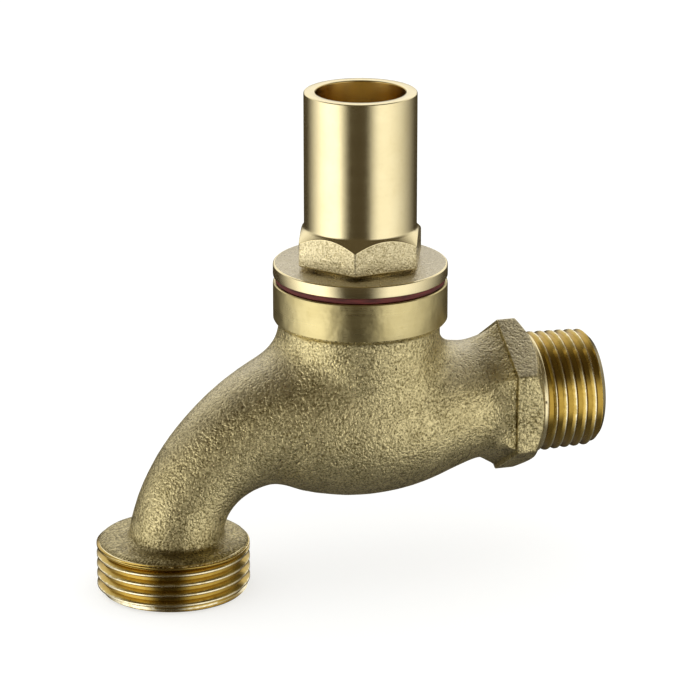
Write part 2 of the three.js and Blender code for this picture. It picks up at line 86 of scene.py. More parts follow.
# the casting: its collar, neck, globe, inlet branch with the hexagon, and spout
COLLAR_BOTTOM = COLLAR_TOP - 6.95
COLLAR_OVERLAP = 0.4
LEDGE_DROP = 0.06
LEDGE_HEIGHT = 2.5
LEDGE_ROUND = 0.55
NECK_R = 13.7
NECK_SWELL = 0.35
GLOBE_RADII = np.array([24, 14.6, 13.6])
GLOBE_LENGTH_TO_SPOUT = 22.2
GLOBE_DROP = 1.3
BRANCH_R = 10.05
INLET_HEX_X = 24.85
INLET_HEX_END = 30.1
INLET_HEX_FLAT = 12.0
INLET_HEX_FACE_R = 11.3
INLET_HEX_CONE = 0.78
INLET_FLARE_X = 19.0
INLET_FLARE_STEP = 0.7
FLARE_STEEPNESS = 1.3
FLARE_STEEPER_AT_SIDES = 1.1
INLET_RING_END = 30.9
INLET_RING_STEP = 0.8
INLET_RING_OVERLAP = 0.7
SPOUT_CENTRE = np.array([-8, 0, -21.5])
SPOUT_ARC_X = 25.2
SPOUT_ARC_Z = 21.8
SPOUT_WAIST_R = 7.85
SPOUT_WAIST_ANGLE = math.radians(68)
SPOUT_FLARE = 5.45
SPOUT_WALL = 2.4

# how far each smooth join of the casting reaches
GLOBE_JOIN = 1.5
BRANCH_JOIN = 3.5
NECK_JOIN = 1.6
NECK_JOIN_TO_SPOUT = 2.8
NECK_JOIN_TO_INLET = 2.2
LEDGE_JOIN = 1.1
SHOULDER_JOIN = 0.9

# height, size and seed of the casting's unevenness
WAVES = (0.045, 5.0, 11)
RIPPLES = (0.02, 1.3, 12)
LEDGE_WAVES = (0.06, 2.2, 13)

# the waterways
OUTLET_BORE_R = 9
OUTLET_BORE_DEPTH = 6.5
OUTLET_BORE_CONE = 3.5
INLET_BORE_R = 7
INLET_BORE_START = 13
BORE_CHAMFER = 0.4
LOWER_CHAMBER_R = 11.9
UPPER_CHAMBER_R = 10.4
SEAT_BORE_R = 5.75
SEAT_LIP = 4.85
SEAT_LIP_R = 7.3
WEB_BOTTOM = 1.5
WEB_TOP = 4
BONNET_THREAD_R = 11.5
BONNET_THREAD_START = 13.5
MOUTH_CHAMFER = 0.3

# the boxes in which the cast surfaces are worked out, and their grids
CAST_LOW = (OUTLET_X - 15.3, -16.5, OUTLET_END)
CAST_HIGH = (INLET_HEX_END + 1.5, 16.5, COLLAR_BOTTOM + 4)
WATERWAY_LOW = (-45, -12.5, OUTLET_END)
WATERWAY_HIGH = (16, 12.5, 15)
CAST_VOXEL = 0.42
WATERWAY_VOXEL = 0.8
FIELD_LIMIT = 3.0
WELD_REACH = 0.002

# how enclosed a point is, which paints shade: how far it looks, and the painted shade added on the shoulder,
# beside the inlet hexagon, most of it underneath, and in the run-out; the outlet's chamfered end gets none
# and shows a painted highlight
RECESS_REACH = 3
SHOULDER_SHADE = 0.68
SHOULDER_SHADE_TOP = SHOULDER_TOP + 1.2
SHOULDER_SHADE_FADE = 0.8
HEXAGON_SHADE = 0.68
HEXAGON_SHADE_LEAST = 0.3
HEXAGON_SHADE_BELOW = 0.03
HEXAGON_SHADE_LENGTH = 3.2
RUN_OUT_SHADE = 0.6
CHAMFER_HIGHLIGHT_HEIGHT = 0.75

# the bonnet and its washer
FLANGE_BOTTOM = COLLAR_TOP + 1.05
FLANGE_TOP = FLANGE_BOTTOM + 2.1
HEX_BOTTOM = FLANGE_TOP + 0.6
HEX_TOP = 33.1
HEX_FLAT = 10.05
HEX_TURN = math.radians(8.4)
HEX_ROUND = 0.25
UNDERCUT_R = 8.3
SHROUD_R = 9.65
SHROUD_BORE_R = 7.65
SHROUD_FLOOR = 40
SHROUD_LIP = 0.35
SKIRT_R = 11.2
COUNTERBORE_R = 8.8
COUNTERBORE_TOP = 16.8
NUT_MINOR_R = 5.8
NUT_MAJOR_R = 6.9
NUT_ROOT_R = NUT_MINOR_R - 0.4
NUT_TOP = 28
GLAND_BORE_R = 4.3
WASHER_R = 14.6
WASHER_INNER_R = SKIRT_R + 0.3
WASHER_GAP = 0.05

# the spindle and its seals
SPINDLE_BOTTOM = SPINDLE_LOW[2]
SPINDLE_TOP = SPINDLE_HIGH[2]
SPINDLE_LEAD = 2
SPINDLE_THREAD_R = 6.6
SPINDLE_ROOT_R = 5.5
SPINDLE_THREAD_START = 12.4
SPINDLE_THREAD_END = 21.4
SPINDLE_THREAD_CHAMFER = 1.4
SPINDLE_STEM_R = 4
SPINDLE_HEAD_START = 40.8
SPINDLE_SQUARE = 3.175
SQUARE_CHAMFER = 0.4
PIN_BORE_R = 3.2
PIN_BORE_TOP = 25
O_RING_HEIGHTS = (30.2, 33.6)
O_RING_SECTION_R = 0.62
O_RING_GROOVE_R = 2.95
O_RING_GROOVE = 1.6
O_RING_R = O_RING_GROOVE_R + 0.05 + O_RING_SECTION_R
NYLON_THICKNESS = 0.8

# the jumper
PIN_R = 2.9
PIN_TOP = 24
DISC_R = 7.6
DISC_BOTTOM = 8.2
DISC_TOP = 10.4
STUD_R = 1.9
STUD_BOTTOM = 2
STUD_HOLE_R = STUD_R + 0.3
RUBBER_R = 8
LOCK_NUT_LOW = 3.05
LOCK_NUT_HIGH = LOCK_NUT_LOW + 1.8
LOCK_NUT_FLAT = 3.25
LOCK_NUT_FACE_R = 3.35

ZONES = ("cast", "forged", "turned", "collar", "thread", "bore", "inside")
ZONE_MATERIALS = {zone: bpy.data.materials.new(zone + "_brass") for zone in ZONES}


# ---------------------------------------------------------------- mesh helpers

def to_row(points):
    """Millimetres about the valve centre to metres in the row's frame."""
    return (np.asarray(points, float) + [AXIS_X, 0, 0]) * MM


def make_object(name, points, faces, zones):
    """A mesh of millimetre points, with the zone, and so the material, of each face."""
    mesh = bpy.data.meshes.new(name)
    mesh.from_pydata(to_row(points).tolist(), [], [list(map(int, face)) for face in faces])
    mesh.update()
    obj = bpy.data.objects.new(name, mesh)
    bpy.context.scene.collection.objects.link(obj)
    for zone in ZONES:
        mesh.materials.append(ZONE_MATERIALS[zone])
    mesh.polygons.foreach_set("material_index", [ZONES.index(zone) for zone in zones])
    return obj


def weld(mesh):
    """Removes the sliver faces that cutting and joining leave, without a change in shape."""
    surface = bmesh.new()
    surface.from_mesh(mesh)
    bmesh.ops.remove_doubles(surface, verts=surface.verts, dist=WELD_REACH * MM)
    many_sided = [face for face in surface.faces if len(face.verts) > 4]
    bmesh.ops.triangulate(surface, faces=many_sided)
    bmesh.ops.dissolve_degenerate(surface, edges=surface.edges, dist=WELD_REACH * MM)
    surface.to_mesh(mesh)
    surface.free()


def finish_surface(obj, sharp_angle=35):
    """Smooth shading, with a crease where faces meet at more than the angle."""
    mesh = obj.data
    weld(mesh)
    mesh.polygons.foreach_set("use_smooth", [True] * len(mesh.polygons))
    mesh.set_sharp_from_angle(angle=math.radians(sharp_angle))
    mesh.update()
    return obj


def combine(target, other, operation):
    """Joins or cuts the target with another closed object, which is then removed."""
    modifier = target.modifiers.new("combine", "BOOLEAN")
    modifier.object = other
    modifier.operation = operation
    modifier.solver = "MANIFOLD"
    graph = bpy.context.evaluated_depsgraph_get()
    mesh = bpy.data.meshes.new_from_object(target.evaluated_get(graph))
    target.modifiers.clear()
    old = target.data
    target.data = mesh
    bpy.data.meshes.remove(old)
    bpy.data.objects.remove(other)
    return target


def rounded(profile, steps=3):
    """Replaces each corner of a closed [radius, height, rounding] outline by a short curve."""
    points = []
    count = len(profile)
    for index in range(count):
        here = np.array(profile[index][:2], float)
        radius = profile[index][2] if len(profile[index]) > 2 else 0
        if radius == 0:
            points.append(here)
            continue
        before = np.array(profile[index - 1][:2], float) - here
        after = np.array(profile[(index + 1) % count][:2], float) - here
        lengths = np.linalg.norm(before), np.linalg.norm(after)
        reach = min(radius, 0.45 * lengths[0], 0.45 * lengths[1])
        start, end = here + before / lengths[0] * reach, here + after / lengths[1] * reach
        for t in np.linspace(0, 1, steps + 1):
            points.append((1 - t) ** 2 * start + 2 * t * (1 - t) * here + t * t * end)
    return points


def placed(points, centre, along_x):
    """Points about the Z axis, turned onto the X axis if asked, and moved to the (x, z) centre."""
    points = np.array(points)
    if along_x:
        points = points[:, [2, 1, 0]] * [1, 1, -1]
    return points + [centre[0], 0, centre[1]]


def turned_object(name, profile, zone, segments, centre=(0, 0), along_x=False, turn=0.0):
    """A closed turned ring or bar. The profile is a list, or a function of the angle, of
    [radius, height, rounding], anticlockwise; a radius of 0 is a point on the axis. The zone is
    a name, or a function of the radius and height."""
    angles = turn + np.arange(segments) * 2 * math.pi / segments
    if callable(profile):
        columns = np.array([rounded(profile(angle)) for angle in angles])
    else:
        columns = np.repeat(np.array(rounded(profile))[None], segments, axis=0)
    rows = columns.shape[1]
    on_axis = np.abs(columns[:, :, 0]).max(axis=0) < 1e-9
    points, index = [], np.zeros((segments, rows), int)
    for row in range(rows):
        if on_axis[row]:
            index[:, row] = len(points)
            points.append((0, 0, columns[0, row, 1]))
            continue
        for side in range(segments):
            index[side, row] = len(points)
            radius, height = columns[side, row]
            points.append((radius * math.cos(angles[side]), radius * math.sin(angles[side]), height))
    faces, zones = [], []
    for row in range(rows):
        after = (row + 1) % rows
        if on_axis[row] and on_axis[after]:
            continue
        for side in range(segments):
            beside = (side + 1) % segments
            face = [index[side, row], index[beside, row], index[beside, after], index[side, after]]
            kept = [corner for place, corner in enumerate(face) if corner not in face[:place]]
            faces.append(kept)
            middle = (columns[side, row] + columns[side, after]) / 2
            zones.append(zone(*middle) if callable(zone) else zone)
    return make_object(name, placed(points, centre, along_x), faces, zones)


def thread_form(crest, depth, crest_share, root_share, rounding):
    """One pitch of a thread as (share of the pitch, radius), from the middle of a groove."""
    low, high = crest - depth, crest
    rising = [(root_share / 2, low), (0.5 - crest_share / 2, high)]
    falling = [(1 - share, radius) for share, radius in reversed(rising)]
    reach = rounding * 0.22
    form = [(0.0, low)]
    for share, radius in rising + falling:
        eased = radius + (rounding if radius == low else -rounding) * 0.5
        if (share < 0.5) == (radius == low):
            form += [(share - reach, radius), (share + reach * 0.6, eased)]
        else:
            form += [(share - reach * 0.6, eased), (share + reach, radius)]
    return form


def screw_object(name, form, pitch, bottom, top, segments, taper=0.0, taper_from=0.0,
                 centre=(0, 0), along_x=False, phase=0.0):
    """A right-hand screw as one closed mesh: its rows wind up by a pitch each turn."""
    per_turn = len(form)
    rows = per_turn * (math.ceil((top - bottom) / pitch) + 2)
    start = bottom - pitch * (1 + phase)
    points = []
    for side in range(segments):
        last = rows + per_turn if side == 0 else rows
        angle = 2 * math.pi * side / segments
        for row in range(last + 1):
            share, radius = form[row % per_turn]
            height = start + pitch * (row // per_turn + share + side / segments)
            radius -= taper * (height - taper_from)
            points.append((radius * math.cos(angle), radius * math.sin(angle), height))
    first_column = rows + per_turn + 1

    def at(side, row):
        if side == segments:
            return row + per_turn
        return row if side == 0 else first_column + (side - 1) * (rows + 1) + row

    low, high = len(points), len(points) + 1
    points += [(0, 0, start - pitch), (0, 0, start + pitch * (rows / per_turn + 2))]
    faces = []
    for side in range(segments):
        for row in range(rows):
            faces.append((at(side, row), at(side + 1, row), at(side + 1, row + 1), at(side, row + 1)))
        faces.append((low, at(side + 1, 0), at(side, 0)))
        faces.append((high, at(side, rows), at(side + 1, rows)))
    for row in range(per_turn):
        faces.append((low, at(0, row), at(0, row + 1)))
        faces.append((high, at(segments, rows - row), at(segments, rows - row - 1)))
    return make_object(name, placed(points, centre, along_x), faces, ["thread"] * len(faces))


# ---------------------------------------------------------------- the casting as a distance field

def smooth_join(a, b, reach):
    """The nearer of two distances, eased where they differ by less than the reach."""
    ease = np.maximum(reach - np.abs(a - b), 0) / reach
    return np.minimum(a, b) - ease * ease * reach / 4


def spout_line(angle):
    """Centre and radius of the spout at an angle along its elliptical arc."""
    x = SPOUT_CENTRE[0] - SPOUT_ARC_X * math.sin(angle)
    z = SPOUT_CENTRE[2] + SPOUT_ARC_Z * math.cos(angle)
    return x, z, SPOUT_WAIST_R + SPOUT_FLARE * (1 - angle / SPOUT_WAIST_ANGLE) ** 2


def spout_distance(p, inset=0.0, steps=90):
    """Distance to a row of balls along the spout's arc, each smaller by the inset."""
    nearest = np.full(len(p), 1e3, p.dtype)
    for angle in np.linspace(0, math.pi / 2, steps):
        x, z, radius = spout_line(angle)
        span = np.sqrt((p[:, 0] - x) ** 2 + p[:, 1] ** 2 + (p[:, 2] - z) ** 2)
        np.minimum(nearest, span - radius + inset, out=nearest)
    return nearest


def globe_distance(p):
    """Distance to an ellipsoid that is shorter towards the spout."""
    q = p + np.array([0, 0, GLOBE_DROP], p.dtype)
    q[:, 0] *= np.where(p[:, 0] < 0, GLOBE_RADII[0] / GLOBE_LENGTH_TO_SPOUT, 1)
    near = np.linalg.norm(q / GLOBE_RADII, axis=1)
    slope = np.linalg.norm(q / GLOBE_RADII ** 2, axis=1)
    return near * (near - 1) / np.maximum(slope, 1e-6)


def bar_distance(across, along, radius, low, high, rounding=0.0):
    """Distance to a round bar, from how far a point is from its axis and along it."""
    side = across - radius + rounding
    end = np.maximum(low - along, along - high) + rounding
    outside = np.hypot(np.maximum(side, 0), np.maximum(end, 0))
    return outside + np.minimum(np.maximum(side, end), 0) - rounding


def lumps(p, kind):
    """Smooth random bumps, both ways to the kind's height, on a lattice of its size, in mm."""
    most, cell, seed = kind
    lattice = np.random.default_rng(seed).uniform(-1, 1, (64, 64, 64)).astype(np.float32)
    q = p / cell + 1000
    base = np.floor(q).astype(int)
    t = q - base
    t = t * t * (3 - 2 * t)
    heights = np.zeros(len(p), np.float32)
    for dx in (0, 1):
        for dy in (0, 1):
            for dz in (0, 1):
                weight = (np.abs(1 - dx - t[:, 0]) * np.abs(1 - dy - t[:, 1]) * np.abs(1 - dz - t[:, 2]))
                corner = (base + [dx, dy, dz]) % 64
                heights += (weight * lattice[corner[:, 0], corner[:, 1], corner[:, 2]]).astype(np.float32)
    return most * heights


def gradient(distance, points, step=0.02):
    """The slope of a distance in each direction, from its values a step to each side."""
    slope = np.empty_like(points)
    for k in range(3):
        move = np.zeros(3)
        move[k] = step
        slope[:, k] = (distance(points + move) - distance(points - move)) / (2 * step)
    return slope


def skin_object(name, distance, low, high, voxel, zone):
    """A closed mesh of the surface where the distance is zero, drawn onto it exactly."""
    counts = np.ceil((np.array(high) - low) / voxel).astype(int)
    axes = [low[k] + voxel * np.arange(counts[k]) for k in range(3)]
    y, z = (grid.ravel() for grid in np.meshgrid(axes[1], axes[2], indexing="ij"))
    field = np.empty(counts, np.float32)
    for slab, x in enumerate(axes[0]):
        points = np.stack([np.full(y.size, x), y, z], axis=1).astype(np.float32)
        field[slab] = distance(points).reshape(counts[1:])
    grid = openvdb.FloatGrid(background=FIELD_LIMIT)
    grid.copyFromArray(np.clip(field, -FIELD_LIMIT, FIELD_LIMIT))
    points, quads = grid.convertToQuads(isovalue=0.0)
    points = points.astype(np.float64) * voxel + low
    for _ in range(2):
        slope = gradient(distance, points)
        length = np.maximum((slope ** 2).sum(1), 0.25)
        points -= (distance(points) / length)[:, None] * slope
    return make_object(name, points, quads, [zone] * len(quads))


def outer_skin(p):
    """The casting without its machined collar and threads."""
    x, y, z = p[:, 0], p[:, 1], p[:, 2]
    across_spindle = np.hypot(x, y)
    across_inlet = np.hypot(y, z)
    across_outlet = np.hypot(x - OUTLET_X, y)
    spout = np.maximum(spout_distance(p), SHOULDER_EDGE - SKIN_CLIP - z)
    skin = smooth_join(spout, globe_distance(p), GLOBE_JOIN)
    off_corner = np.arctan2(y, -z) % math.radians(60) - math.radians(30)
    flare_r = INLET_HEX_FLAT / np.cos(off_corner) - INLET_FLARE_STEP
    along = np.clip((x - INLET_FLARE_X) / (INLET_HEX_X - INLET_FLARE_X), 0, 1)
    steepness = FLARE_STEEPNESS + FLARE_STEEPER_AT_SIDES * (y / np.maximum(across_inlet, 1)) ** 2
    flare = (flare_r - BRANCH_R) * along ** steepness
    branch = bar_distance(across_inlet, x, BRANCH_R + flare, 0, INLET_HEX_X + 0.15)
    skin = smooth_join(skin, branch, BRANCH_JOIN)
    towards_spout = np.clip(-x / np.maximum(across_spindle, 1), 0, 1) ** 2
    towards_inlet = np.clip(x / np.maximum(across_spindle, 1), 0, 1) ** 2
    neck_r = NECK_R + NECK_SWELL * towards_spout
    neck = bar_distance(across_spindle, z, neck_r, 0, COLLAR_BOTTOM + 2)
    reach = NECK_JOIN + NECK_JOIN_TO_SPOUT * towards_spout + NECK_JOIN_TO_INLET * towards_inlet
    skin = smooth_join(skin, neck, reach)
    ledge_r = COLLAR_R - LEDGE_DROP + lumps(p, LEDGE_WAVES)
    ledge = bar_distance(across_spindle, z, ledge_r, COLLAR_BOTTOM, COLLAR_BOTTOM + LEDGE_HEIGHT,
                         LEDGE_ROUND)
    skin = smooth_join(skin, ledge, LEDGE_JOIN)
    shoulder = bar_distance(across_outlet, z, OUTLET_THREAD_R - SHOULDER_INSET, SHOULDER_EDGE - 4,
                            SHOULDER_TOP, SHOULDER_ROUND)
    skin = smooth_join(skin, np.maximum(shoulder, SHOULDER_EDGE + SKIN_CLIP - z), SHOULDER_JOIN)
    return skin + lumps(p, WAVES) + lumps(p, RIPPLES)


def rough_waterway(p):
    """The cored passages: below the seat to the branch, and over the web into the spout."""
    x, y, z = p[:, 0], p[:, 1], p[:, 2]
    from_valve = np.linalg.norm(p, axis=1)
    chamber = np.maximum(from_valve - LOWER_CHAMBER_R, z - WEB_BOTTOM)
    branch = bar_distance(np.hypot(y, z), x, INLET_BORE_R, 0, INLET_BORE_START + 1)
    branch = np.maximum(branch, z - WEB_BOTTOM)
    web = np.maximum(from_valve - LOWER_CHAMBER_R - WEB_BOTTOM - 1, z - WEB_TOP)
    duct = np.maximum(spout_distance(p, SPOUT_WALL), x - SPOUT_CENTRE[0])
    duct = np.maximum(duct, OUTLET_END + 2 - z)
    return np.minimum(smooth_join(chamber, branch, 1.0), np.maximum(duct, -web))


def pipe_thread(name, form, start, end, chamfer, taper=0.0, taper_from=0.0, phase=0.0, **place):
    """A pipe thread, cut off square at its start and chamfered at its end."""
    crest = max(radius for _, radius in form)
    low, high = min(start, end), max(start, end)
    thread = screw_object(name, form, PIPE_PITCH, low, high, 144, taper, taper_from, phase=phase, **place)
    end_r = crest - taper * (end - taper_from)
    wide = crest + 0.6
    narrow = end_r - chamfer
    if end > start:
        outline = [[0, low], [wide, low], [wide, high - (wide - narrow)], [narrow, high], [0, high]]
    else:
        outline = [[0, low], [narrow, low], [wide, low + (wide - narrow)], [wide, high], [0, high]]
    envelope = turned_object(name + "_envelope", outline, "turned", 180, **place)
    return combine(thread, envelope, "INTERSECT")


def body_casting():
    """The cast skin, then what is machined on it, then the passages, in that order."""
    body = skin_object("body_casting", outer_skin, CAST_LOW, CAST_HIGH, CAST_VOXEL, "cast")
    collar_start = COLLAR_BOTTOM + COLLAR_OVERLAP
    collar = turned_object("collar", [
        [0, collar_start], [COLLAR_R, collar_start, 0.12], [COLLAR_R, COLLAR_TOP, 0.45], [0, COLLAR_TOP],
    ], "collar", 256)
    combine(body, collar, "UNION")
    hexagon = turned_object("inlet_hexagon", inlet_hex_outline, "cast", 360, along_x=True)
    combine(body, hexagon, "UNION")
    add_inlet_thread(body)
    add_outlet_thread(body)
    cut_waterways(body)
    body.name = "body_casting"
    paint_recess_shade(body)
    return finish_surface(body, 32)


def add_inlet_thread(body):
    """The turned ring outside the hexagon, and the taper thread."""
    ring_start, ring_end = INLET_HEX_END - 2, INLET_RING_END + INLET_RING_OVERLAP
    ring_r = INLET_GAUGE_R + (INLET_GAUGE_X - INLET_RING_END) * INLET_TAPER
    ring = turned_object("inlet_ring", [
        [0, ring_start], [ring_r, ring_start], [ring_r, INLET_RING_END, 0.25],
        [ring_r - INLET_RING_STEP, ring_end], [0, ring_end],
    ], "turned", 144, along_x=True)
    combine(body, ring, "UNION")
    form = thread_form(INLET_GAUGE_R, INLET_THREAD_DEPTH, crest_share=0.09, root_share=0.46, rounding=0.07)
    thread = pipe_thread("inlet_thread", form, INLET_RING_END - 0.6, INLET_REACH, INLET_CHAMFER,
                         taper=INLET_TAPER, taper_from=INLET_GAUGE_X, along_x=True)
    combine(body, thread, "UNION")


def add_outlet_thread(body):
    """The hose thread, and the plain run-out between it and the shoulder."""
    form = thread_form(OUTLET_THREAD_R, OUTLET_THREAD_DEPTH, crest_share=0.18, root_share=0.34, rounding=0.12)
    thread = pipe_thread("outlet_thread", form, SHOULDER_EDGE + 0.8, OUTLET_END, OUTLET_CHAMFER,
                         centre=(OUTLET_X, 0), phase=0.4)
    combine(body, thread, "UNION")
    low, narrow = SHOULDER_EDGE - 0.2, OUTLET_THREAD_R - 0.35
    run_out = turned_object("thread_run_out", [
        [0, low], [narrow, low, 0.1], [OUTLET_THREAD_R, SHOULDER_EDGE + 0.15, 0.1],
        [OUTLET_THREAD_R, RUN_OUT_TOP, 0.15], [0, RUN_OUT_TOP],
    ], "thread", 240, centre=(OUTLET_X, 0))
    combine(body, run_out, "UNION")


def cut_waterways(body):
    """The cored passages, the chamber with the bonnet's socket, the seat and the two drilled ends."""
    rough = skin_object("rough_waterway", rough_waterway, WATERWAY_LOW, WATERWAY_HIGH, WATERWAY_VOXEL,
                        "inside")
    combine(body, rough, "DIFFERENCE")
    above = COLLAR_TOP + MOUTH_CHAMFER
    upper = turned_object("upper_chamber", [
        [0, SEAT_LIP], [SEAT_LIP_R, SEAT_LIP, 0.2], [SEAT_LIP_R, WEB_TOP], [UPPER_CHAMBER_R, WEB_TOP, 0.5],
        [UPPER_CHAMBER_R, BONNET_THREAD_START], [BONNET_THREAD_R, BONNET_THREAD_START],
        [BONNET_THREAD_R, COLLAR_TOP - MOUTH_CHAMFER], [BONNET_THREAD_R + 2 * MOUTH_CHAMFER, above],
        [0, above],
    ], "inside", 128)
    combine(body, upper, "DIFFERENCE")
    seat_end = SEAT_LIP + 0.5
    seat = turned_object("seat_bore", [
        [0, 0], [SEAT_BORE_R, 0], [SEAT_BORE_R, seat_end], [0, seat_end],
    ], "inside", 96)
    combine(body, seat, "DIFFERENCE")
    outside = INLET_REACH + BORE_CHAMFER
    inlet = turned_object("inlet_bore", [
        [0, INLET_BORE_START], [INLET_BORE_R, INLET_BORE_START], [INLET_BORE_R, INLET_REACH - BORE_CHAMFER],
        [INLET_BORE_R + 2 * BORE_CHAMFER, outside], [0, outside],
    ], "inside", 96, along_x=True)
    combine(body, inlet, "DIFFERENCE")
    below = OUTLET_END - BORE_CHAMFER
    cone_start = OUTLET_END + OUTLET_BORE_DEPTH
    cone_end = cone_start + OUTLET_BORE_CONE
    outlet = turned_object("outlet_bore", [
        [0, below], [OUTLET_BORE_R + 2 * BORE_CHAMFER, below], [OUTLET_BORE_R, OUTLET_END + BORE_CHAMFER],
        [OUTLET_BORE_R, cone_start, 0.6], [SPOUT_WAIST_R - SPOUT_WALL, cone_end], [0, cone_end],
    ], "inside", 96, centre=(OUTLET_X, 0))
    combine(body, outlet, "DIFFERENCE")


def inlet_hex_outline(angle):
    """A hexagon with its back square and its front turned to a cone."""
    radius = hex_radius(angle, INLET_HEX_FLAT, turn=0, rounding=0.3)
    cone = INLET_HEX_END - max(radius - INLET_HEX_FACE_R, 0) * INLET_HEX_CONE
    return [[0, INLET_HEX_X], [radius, INLET_HEX_X, 0.2], [radius, cone, 0.15],
            [INLET_HEX_FACE_R, INLET_HEX_END, 0.2], [0, INLET_HEX_END]]


def vertex_values(mesh, name):
    """The places or normals of a mesh's vertices, one row each."""
    values = np.empty(len(mesh.vertices) * 3)
    mesh.vertices.foreach_get(name, values)
    return values.reshape(-1, 3)


def paint_recess_shade(body):
    """Stores the painted shade of each point, from how enclosed it is: near 1 in a groove, and 0 on an open
    face.
    """
    places = vertex_values(body.data, "co") / MM - [AXIS_X, 0, 0]
    normals = vertex_values(body.data, "normal")
    # painted shade: darker where the casting closes round a point, much as ambient occlusion would fall there
    recess_shade = np.clip(1 - outer_skin(places + RECESS_REACH * normals) / RECESS_REACH, 0, 1)
    x, y, z = places.T
    # painted shade on the shoulder, below a set height
    on_shoulder = np.clip((SHOULDER_SHADE_TOP - z) / SHOULDER_SHADE_FADE, 0, 1)
    # painted shade in the crease beside the inlet hexagon, strongest underneath
    by_hexagon = np.clip(1 - (INLET_HEX_X - x) / HEXAGON_SHADE_LENGTH, 0, 1) * (x < INLET_HEX_X + 0.05)
    by_hexagon *= np.clip(HEXAGON_SHADE - HEXAGON_SHADE_BELOW * z, HEXAGON_SHADE_LEAST, 1)
    recess_shade = np.maximum(recess_shade, np.maximum(SHOULDER_SHADE * on_shoulder, by_hexagon))
    across_outlet = np.hypot(x - OUTLET_X, y)
    across_inlet = np.hypot(y, z) + (x - INLET_GAUGE_X) * INLET_TAPER
    # on the threads the painted shade follows the groove depth: high in the grooves, 0 on the crests, which
    # take a pale painted highlight
    for on_thread, depth in (
        (z < SHOULDER_EDGE + 0.5, (OUTLET_THREAD_R - across_outlet) / OUTLET_THREAD_DEPTH),
        (x > INLET_RING_END - 0.2, (INLET_GAUGE_R - across_inlet) / INLET_THREAD_DEPTH),
    ):
        recess_shade[on_thread] = np.clip(depth[on_thread], 0, 1)
    # no shade on the outlet's chamfered end, which takes the pale crest colour as a painted highlight
    recess_shade[z < OUTLET_END + CHAMFER_HIGHLIGHT_HEIGHT] = 0
    # painted shade in the plain run-out, which takes the gold groove colour
    on_run_out = (z > SHOULDER_EDGE - 0.1) & (z < RUN_OUT_TOP - 0.05)
    recess_shade[on_run_out] = np.maximum(recess_shade[on_run_out], RUN_OUT_SHADE)
    attribute = body.data.attributes.new("recess_shade", "FLOAT", "POINT")
    attribute.data.foreach_set("value", recess_shade.astype(np.float32))


# ---------------------------------------------------------------- the bonnet and the washer

def hex_radius(angle, flat, turn, rounding):
    """Distance to the outline of a hexagon whose corners are slightly rounded."""
    apart = math.radians(60)
    off = (angle - turn) % apart - apart / 2
    beside = apart - abs(off)
    near = flat / math.cos(off)
    far = flat / math.cos(beside) if beside < math.radians(85) else 1e3
    ease = max(rounding - abs(near - far), 0) / rounding
    return min(near, far) - ease * ease * rounding / 4


def bonnet_outline(angle):
    hex_r = hex_radius(angle, HEX_FLAT, HEX_TURN, HEX_ROUND)
    return [
        [COUNTERBORE_R, SKIRT_END, 0.3], [SKIRT_R, SKIRT_END, 0.4], [SKIRT_R, FLANGE_BOTTOM, 0.1],
        [COLLAR_R, FLANGE_BOTTOM, 0.2], [COLLAR_R, FLANGE_TOP, 0.35],
        [UNDERCUT_R, FLANGE_TOP, 0.2], [UNDERCUT_R, HEX_BOTTOM, 0.1],
        [hex_r, HEX_BOTTOM, 0.25], [hex_r, HEX_TOP - (hex_r - SHROUD_R), 0.1],
        [SHROUD_R, HEX_TOP, 0.5], [SHROUD_R, SHROUD_TOP, SHROUD_LIP],
        [SHROUD_BORE_R, SHROUD_TOP, SHROUD_LIP], [SHROUD_BORE_R, SHROUD_FLOOR, 0.6],
        [GLAND_BORE_R, SHROUD_FLOOR, 0.3], [GLAND_BORE_R, NUT_TOP], [NUT_MINOR_R, NUT_TOP, 0.3],
        [NUT_MINOR_R, COUNTERBORE_TOP], [COUNTERBORE_R, COUNTERBORE_TOP, 0.2],
    ]


def bonnet_zone(radius, height):
    """Turned all over, but for the hexagon's faces, the flange's top and the bores."""
    if radius < SHROUD_BORE_R + 0.1:
        return "bore" if height > SHROUD_FLOOR else "inside"
    if HEX_BOTTOM + 0.2 < height < HEX_TOP and radius > HEX_FLAT - 0.2:
        below_cone = HEX_TOP - (radius - SHROUD_R) - 0.2
        return "forged" if height < below_cone else "turned"
    if abs(height - FLANGE_TOP) < 0.05 and radius < COLLAR_R - 0.3:
        return "forged"
    return "turned"


def bonnet_forging():
    bonnet = turned_object("bonnet_forging", bonnet_outline, bonnet_zone, 360, turn=HEX_TURN)
    form = [(0.0, NUT_ROOT_R), (0.2, NUT_ROOT_R), (0.42, NUT_MAJOR_R), (0.58, NUT_MAJOR_R), (0.8, NUT_ROOT_R)]
    in_step = (COUNTERBORE_TOP - SPINDLE_THREAD_START) / SPINDLE_LEAD % 1
    thread = screw_object("nut_thread", form, SPINDLE_LEAD, COUNTERBORE_TOP, NUT_TOP, 96, phase=in_step)
    low, high, wide = COUNTERBORE_TOP - 1, NUT_TOP - 0.6, NUT_MAJOR_R + 1
    envelope = turned_object("nut_envelope", [[0, low], [wide, low], [wide, high], [0, high]], "inside", 72)
    combine(thread, envelope, "INTERSECT")
    combine(bonnet, thread, "DIFFERENCE")
    return finish_surface(bonnet, 28)


def flat_washer(name, inner, outer, low, high, edges, segments):
    """A washer between two heights, with the given rounding at its inner and outer edges."""
    return turned_object(name, [
        [inner, low, edges[0]], [outer, low, edges[1]], [outer, high, edges[1]], [inner, high, edges[0]],
    ], "turned", segments)


def fibre_washer():
    low, high = COLLAR_TOP + WASHER_GAP, FLANGE_BOTTOM - WASHER_GAP
    return finish_surface(flat_washer("fibre_washer", WASHER_INNER_R, WASHER_R, low, high, (0.1, 0.2), 180))


# ---------------------------------------------------------------- spindle, seals and jumper

